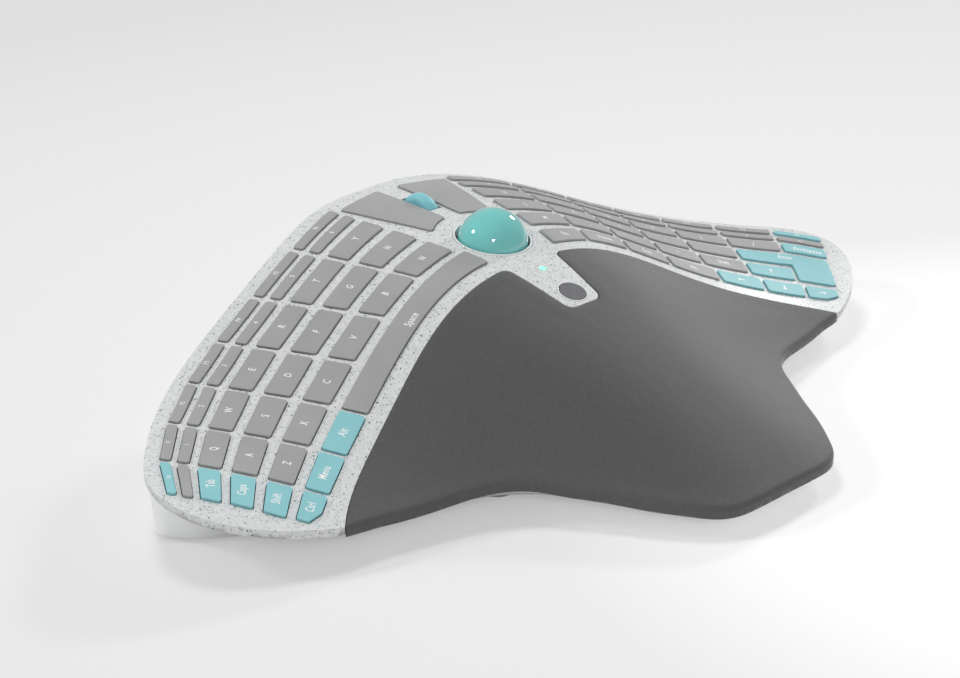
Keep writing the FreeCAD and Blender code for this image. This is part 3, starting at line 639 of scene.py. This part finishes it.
# %% [markdown]
# ## The palm rest
# The palm rest is a moulded pad: a grained skin over foam on a stiff deck. It swells a little in
# the middle and rolls over at its edges. The copy's sharp edge beside the keys is rounded first.
# Then the copy is sliced along a square grid, so that it has corners everywhere, and each corner
# of the top rises by an amount that grows with its distance from the edge.

# %% Make the palm rest
SLICE_STEP, REST_ROUNDING = 2.5 * MM, 0.7 * MM
CROWN_RISE, CROWN_REACH = 1.0 * MM, 18 * MM
UPWARD = 0.45


def slice_on_grid(shape, step):
    """Cuts a shape with planes a step apart, across and along."""
    for axis in (0, 1):
        low = min(vertex.co[axis] for vertex in shape.verts)
        high = max(vertex.co[axis] for vertex in shape.verts)
        for i in range(1, int((high - low) / step)):
            cut = Vector((0, 0, 0))
            cut[axis] = low + i * step
            bmesh.ops.bisect_plane(shape, geom=shape.verts[:] + shape.edges[:] + shape.faces[:],
                                   dist=WELD_WITHIN, plane_co=cut, plane_no=cut.normalized())


shape = merged_copy("palm_rest_cover")
round_edges(shape, top_edges(shape, Vector((0, 0, 1)), STEEP_LEAN), REST_ROUNDING)
slice_on_grid(shape, SLICE_STEP)
shape.normal_update()
sides = [vertex for vertex in shape.verts if abs(vertex.normal.z) < UPWARD]
edge_tree = KDTree(len(sides))
for i, vertex in enumerate(sides):
    edge_tree.insert(vertex.co, i)
edge_tree.balance()
for vertex in shape.verts:
    if vertex.normal.z > UPWARD:
        distance = edge_tree.find(vertex.co)[2]
        vertex.co.z += CROWN_RISE * (1 - math.exp(-distance / CROWN_REACH))
palm_rest = finish_piece(shape, "palm_rest_pad", rest_skin, "casing", ["palm_rest_cover"], 80.0)
print("palm rest faces:", len(palm_rest.data.polygons))

# %% [markdown]
# Under the skin lies the foam. It gets small faces of even size all over, while the CAD part has
# long thin triangles. A Remesh modifier builds the shape anew from little cubes, and two rounds
# of smoothing soften the steps of the cubes.

# %% Make the foam
FOAM_VOXEL, FOAM_ROUNDS = 3.0 * MM, 2


def remeshed(node, voxel, rounds):
    """An even closed net of a CAD node's shape."""
    shape = merged_copy(node)
    mesh = bpy.data.meshes.new("net")
    shape.to_mesh(mesh)
    shape.free()
    holder = bpy.data.objects.new("net", mesh)
    net = holder.modifiers.new("net", "REMESH")
    net.mode = "VOXEL"
    net.voxel_size = voxel
    shape = shape_of(holder)
    for _ in range(rounds):
        bmesh.ops.smooth_vert(shape, verts=shape.verts, factor=0.5,
                              use_axis_x=True, use_axis_y=True, use_axis_z=True)
    shape.normal_update()
    return shape


shape = remeshed("palm_rest_foam", FOAM_VOXEL, FOAM_ROUNDS)
foam = finish_piece(shape, "palm_rest_filling", rest_foam, "casing", ["palm_rest_foam"], 80.0)
print("foam faces:", len(foam.data.polygons))

# %% [markdown]
# ## The ball
# The ball is a polished sphere. An icosphere has no poles, so its highlights stay round all
# over. It replaces the CAD ball, which is made of flat triangles that would show in a mirror
# finish.

# %% Make the ball
def middle_of(node):
    """Middle and size of a CAD node's box."""
    low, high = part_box(node)
    return (low + high) / 2, high - low


ball_middle, ball_size = middle_of("trackball")
shape = bmesh.new()
bmesh.ops.create_icosphere(shape, subdivisions=6, radius=ball_size.z / 2,
                           matrix=Matrix.Translation(ball_middle))
ball = finish_piece(shape, "polished_ball", gloss_teal, "ball", ["trackball"])
print("ball across", round(ball_size.z * 1000, 2), "mm")

# %% [markdown]
# ## The scroll wheel
# The wheel is a fat tyre of soft rubber with rounded shoulders. One shoulder is written down as
# shares of the wheel's half width and radius, and the other is its mirror image. The outline is
# drawn as a few vertices and spun round the axle, which closes it into a ring.

# %% Make the wheel
wheel_middle, wheel_size = middle_of("scroll_wheel")
WHEEL_STEPS = 96
BORE = 1.28 * MM
SHOULDER = ((1.0, 0.74), (0.93, 0.84), (0.78, 0.92), (0.56, 0.97), (0.28, 0.993))


def spun(profile, centre, axis, steps, name, material, body, replaced):
    """Spins an outline of (along, radius) points round an axis into a closed solid."""
    side = axis.orthogonal().normalized()
    shape = bmesh.new()
    ring = [shape.verts.new(centre + axis * along + side * radius) for along, radius in profile]
    edges = [shape.edges.new((a, b)) for a, b in zip(ring, ring[1:] + ring[:1])]
    bmesh.ops.spin(shape, geom=ring + edges, cent=centre, axis=axis, angle=2 * math.pi, steps=steps,
                   use_merge=True)
    bmesh.ops.remove_doubles(shape, verts=shape.verts, dist=WELD_WITHIN)
    bmesh.ops.recalc_face_normals(shape, faces=shape.faces)
    return finish_piece(shape, name, material, body, replaced, 50.0)


half, rim = wheel_size.x / 2, wheel_size.z / 2
shoulder = [(half * along, rim * out) for along, out in SHOULDER]
tyre = ([(-half, BORE)] + [(-along, radius) for along, radius in shoulder] + [(0, rim)]
        + shoulder[::-1] + [(half, BORE)])
wheel = spun(tyre, wheel_middle, Vector((1, 0, 0)), WHEEL_STEPS, "rubber_wheel", wheel_teal, "wheel",
             ["scroll_wheel"])
print("wheel width", round(2 * half * 1000, 2), "mm")

# %% [markdown]
# ## Small parts round the crown
# The ring round the ball's hole, the button, its housing and the status light are rounded
# copies of their CAD nodes, like the keycaps. The button's tilt comes from its joint.

# %% Round the small parts
small_parts = {"socket_ring": (ring_white, "ring_white", 0.3),
               "button_housing": (ring_white, "housing_white", 0.2),
               "power_button": (button_grey, "button_grey", 0.5),
               "status_light": (light_mint, "light_mint", 0.3)}
for node, (material, slot, width) in small_parts.items():
    shape = merged_copy(node)
    up = travel["power"] if node != "socket_ring" else Vector((0, 0, 1))
    round_edges(shape, top_edges(shape, up), width * MM)
    piece = finish_piece(shape, node + "_rounded", material, body_of(node), [node])
print("small parts:", len(small_parts))

# %% [markdown]
# ## The parts that stay as they are
# The tray, the plates, the boards and the rest have the right shape already. They keep their
# CAD mesh as it is and only get a finish.

# %% Dress the remaining CAD parts
finishes = {"lower_tray": tray_white, "rest_deck": inner_black, "ball_socket": inner_black,
            "support_bearings": steel, "optical_sensor": inner_black, "wheel_axle": steel,
            "wheel_carriage": inner_black, "wheel_encoder": inner_black, "mouse_board": board_green,
            "mouse_switches": inner_black, "main_board": board_green, "battery": battery_wrap,
            "left_key_plate": plate_metal, "right_key_plate": plate_metal, "rubber_feet": foot_rubber,
            "case_screws": steel}
for node, material in finishes.items():
    mesh = nodes[node].data
    mesh.materials.clear()
    mesh.materials.append(material)
print("dressed:", len(finishes))

# %% [markdown]
# ## The floor
# The keyboard stands on a pale studio floor that runs on without a horizon. A pool of light is
# painted on it, so that the floor grows white to the front right. The distance from the middle of
# this painted light is turned into a tone by a colour ramp. A part of the tone is painted glow
# that only the camera sees, which keeps the shadow light, while the parts are lit from below by
# the whole of it.

# %% Mix the floor's paint
# A share of the floor's tone is painted glow that only the camera sees; it paints the floor's shadow
# lighter.
SHADOW_LIFTING_GLOW = 0.40
# Painted light: the middle of a bright pool painted on the floor, the distance where it starts to fade,
# and the distance where it has faded to the pale tone.
PAINTED_LIGHT_MIDDLE, PAINTED_LIGHT_REACH, PAINTED_LIGHT_END = (0.15, -0.20, 0), 0.19, 0.90
floor_with_painted_light = new_material("floor_with_painted_light", srgb(233, 233, 233), 0.9, Specular_IOR_Level=0.1)
shader = shader_of(floor_with_painted_light)
place = add_node(floor_with_painted_light, "ShaderNodeTexCoord")
away = add_node(floor_with_painted_light, "ShaderNodeVectorMath", operation="DISTANCE")
away.inputs[1].default_value = PAINTED_LIGHT_MIDDLE
fade = add_node(floor_with_painted_light, "ShaderNodeMapRange")
fade.inputs["From Min"].default_value = PAINTED_LIGHT_REACH
fade.inputs["From Max"].default_value = PAINTED_LIGHT_END
tones = add_node(floor_with_painted_light, "ShaderNodeValToRGB")
# The ramp paints the pool of light: white in its middle, paler greys farther away.
tones.color_ramp.elements[0].color = (1.0, 1.0, 1.0, 1.0)
tones.color_ramp.elements[1].color = srgb(219, 219, 219)
for position, tone in ((0.11, srgb(236, 236, 236)), (0.40, srgb(231, 231, 231))):
    tones.color_ramp.elements.new(position).color = tone
dimmed = add_node(floor_with_painted_light, "ShaderNodeVectorMath", operation="SCALE")
# Camera rays get the painted glow, which lifts the shadow on the floor; other rays see the full matt
# tone.
seen = add_node(floor_with_painted_light, "ShaderNodeLightPath")
glow = add_node(floor_with_painted_light, "ShaderNodeMath", operation="MULTIPLY")
glow.inputs[1].default_value = SHADOW_LIFTING_GLOW
matt_share = add_node(floor_with_painted_light, "ShaderNodeMath", operation="SUBTRACT")
matt_share.inputs[0].default_value = 1.0
for output, target in ((place.outputs["Object"], away.inputs[0]),
                       (away.outputs["Value"], fade.inputs["Value"]),
                       (fade.outputs["Result"], tones.inputs["Fac"]),
                       (tones.outputs["Color"], dimmed.inputs[0]),
                       (dimmed.outputs[0], shader.inputs["Base Color"]),
                       (tones.outputs["Color"], shader.inputs["Emission Color"]),
                       (seen.outputs["Is Camera Ray"], glow.inputs[0]),
                       (glow.outputs[0], shader.inputs["Emission Strength"]),
                       (glow.outputs[0], matt_share.inputs[1]),
                       (matt_share.outputs[0], dimmed.inputs["Scale"])):
    join(floor_with_painted_light, output, target)
print("floor paint has", len(floor_with_painted_light.node_tree.nodes), "nodes")

# %% [markdown]
# The floor is one flat sheet, level with the feet and far wider than the picture.

# %% Lay the floor
FLOOR_REACH = 6.0
shape = bmesh.new()
bmesh.ops.create_grid(shape, x_segments=2, y_segments=2, size=FLOOR_REACH)
mesh = bpy.data.meshes.new("floor")
shape.to_mesh(mesh)
shape.free()
mesh.materials.append(floor_with_painted_light)
floor = bpy.data.objects.new("floor", mesh)
bpy.context.scene.collection.objects.link(floor)
print("floor laid,", round(floor.dimensions.x, 1), "metres across")

# %% [markdown]
# ## The light
# The light is a bright sky and a broad lamp above and behind the keyboard. Polished parts don't
# mirror the broad lamp. Three small lamps give the ball its spots. Their places were found by
# mirroring the line of sight at each spot in the photograph.

# %% Light the scene
SKY_STRENGTH, SPOT_ACROSS = 0.44, 0.32
spots = {"spot_right": ((1.98, 0.43, 1.04), 15.0), "spot_left": ((-1.42, 1.30, 1.26), 10.0),
         "spot_front": ((-1.31, -1.43, 1.12), 7.0)}
scene = bpy.context.scene
scene.view_settings.view_transform = "Standard"
world = bpy.data.worlds.new("studio")
scene.world = world
world.use_nodes = True
sky = world.node_tree.nodes["Background"]
sky.inputs["Color"].default_value = (1, 1, 1, 1)
sky.inputs["Strength"].default_value = SKY_STRENGTH


def add_lamp(name, place, target, size, watts):
    """A round lamp that looks at a target."""
    data = bpy.data.lights.new(name, "AREA")
    data.shape = "DISK"
    data.size = size
    data.energy = watts
    lamp = bpy.data.objects.new(name, data)
    lamp.location = place
    lamp.rotation_euler = (Vector(target) - Vector(place)).to_track_quat("-Z", "Y").to_euler()
    scene.collection.objects.link(lamp)
    return lamp


broad_lamp = add_lamp("broad_lamp", place=(0.0, 0.6, 1.6), target=(0, 0, 0), size=0.5, watts=9.5)
broad_lamp.visible_glossy = False
for name, (place, watts) in spots.items():
    add_lamp(name, place, ball_middle, SPOT_ACROSS, watts)
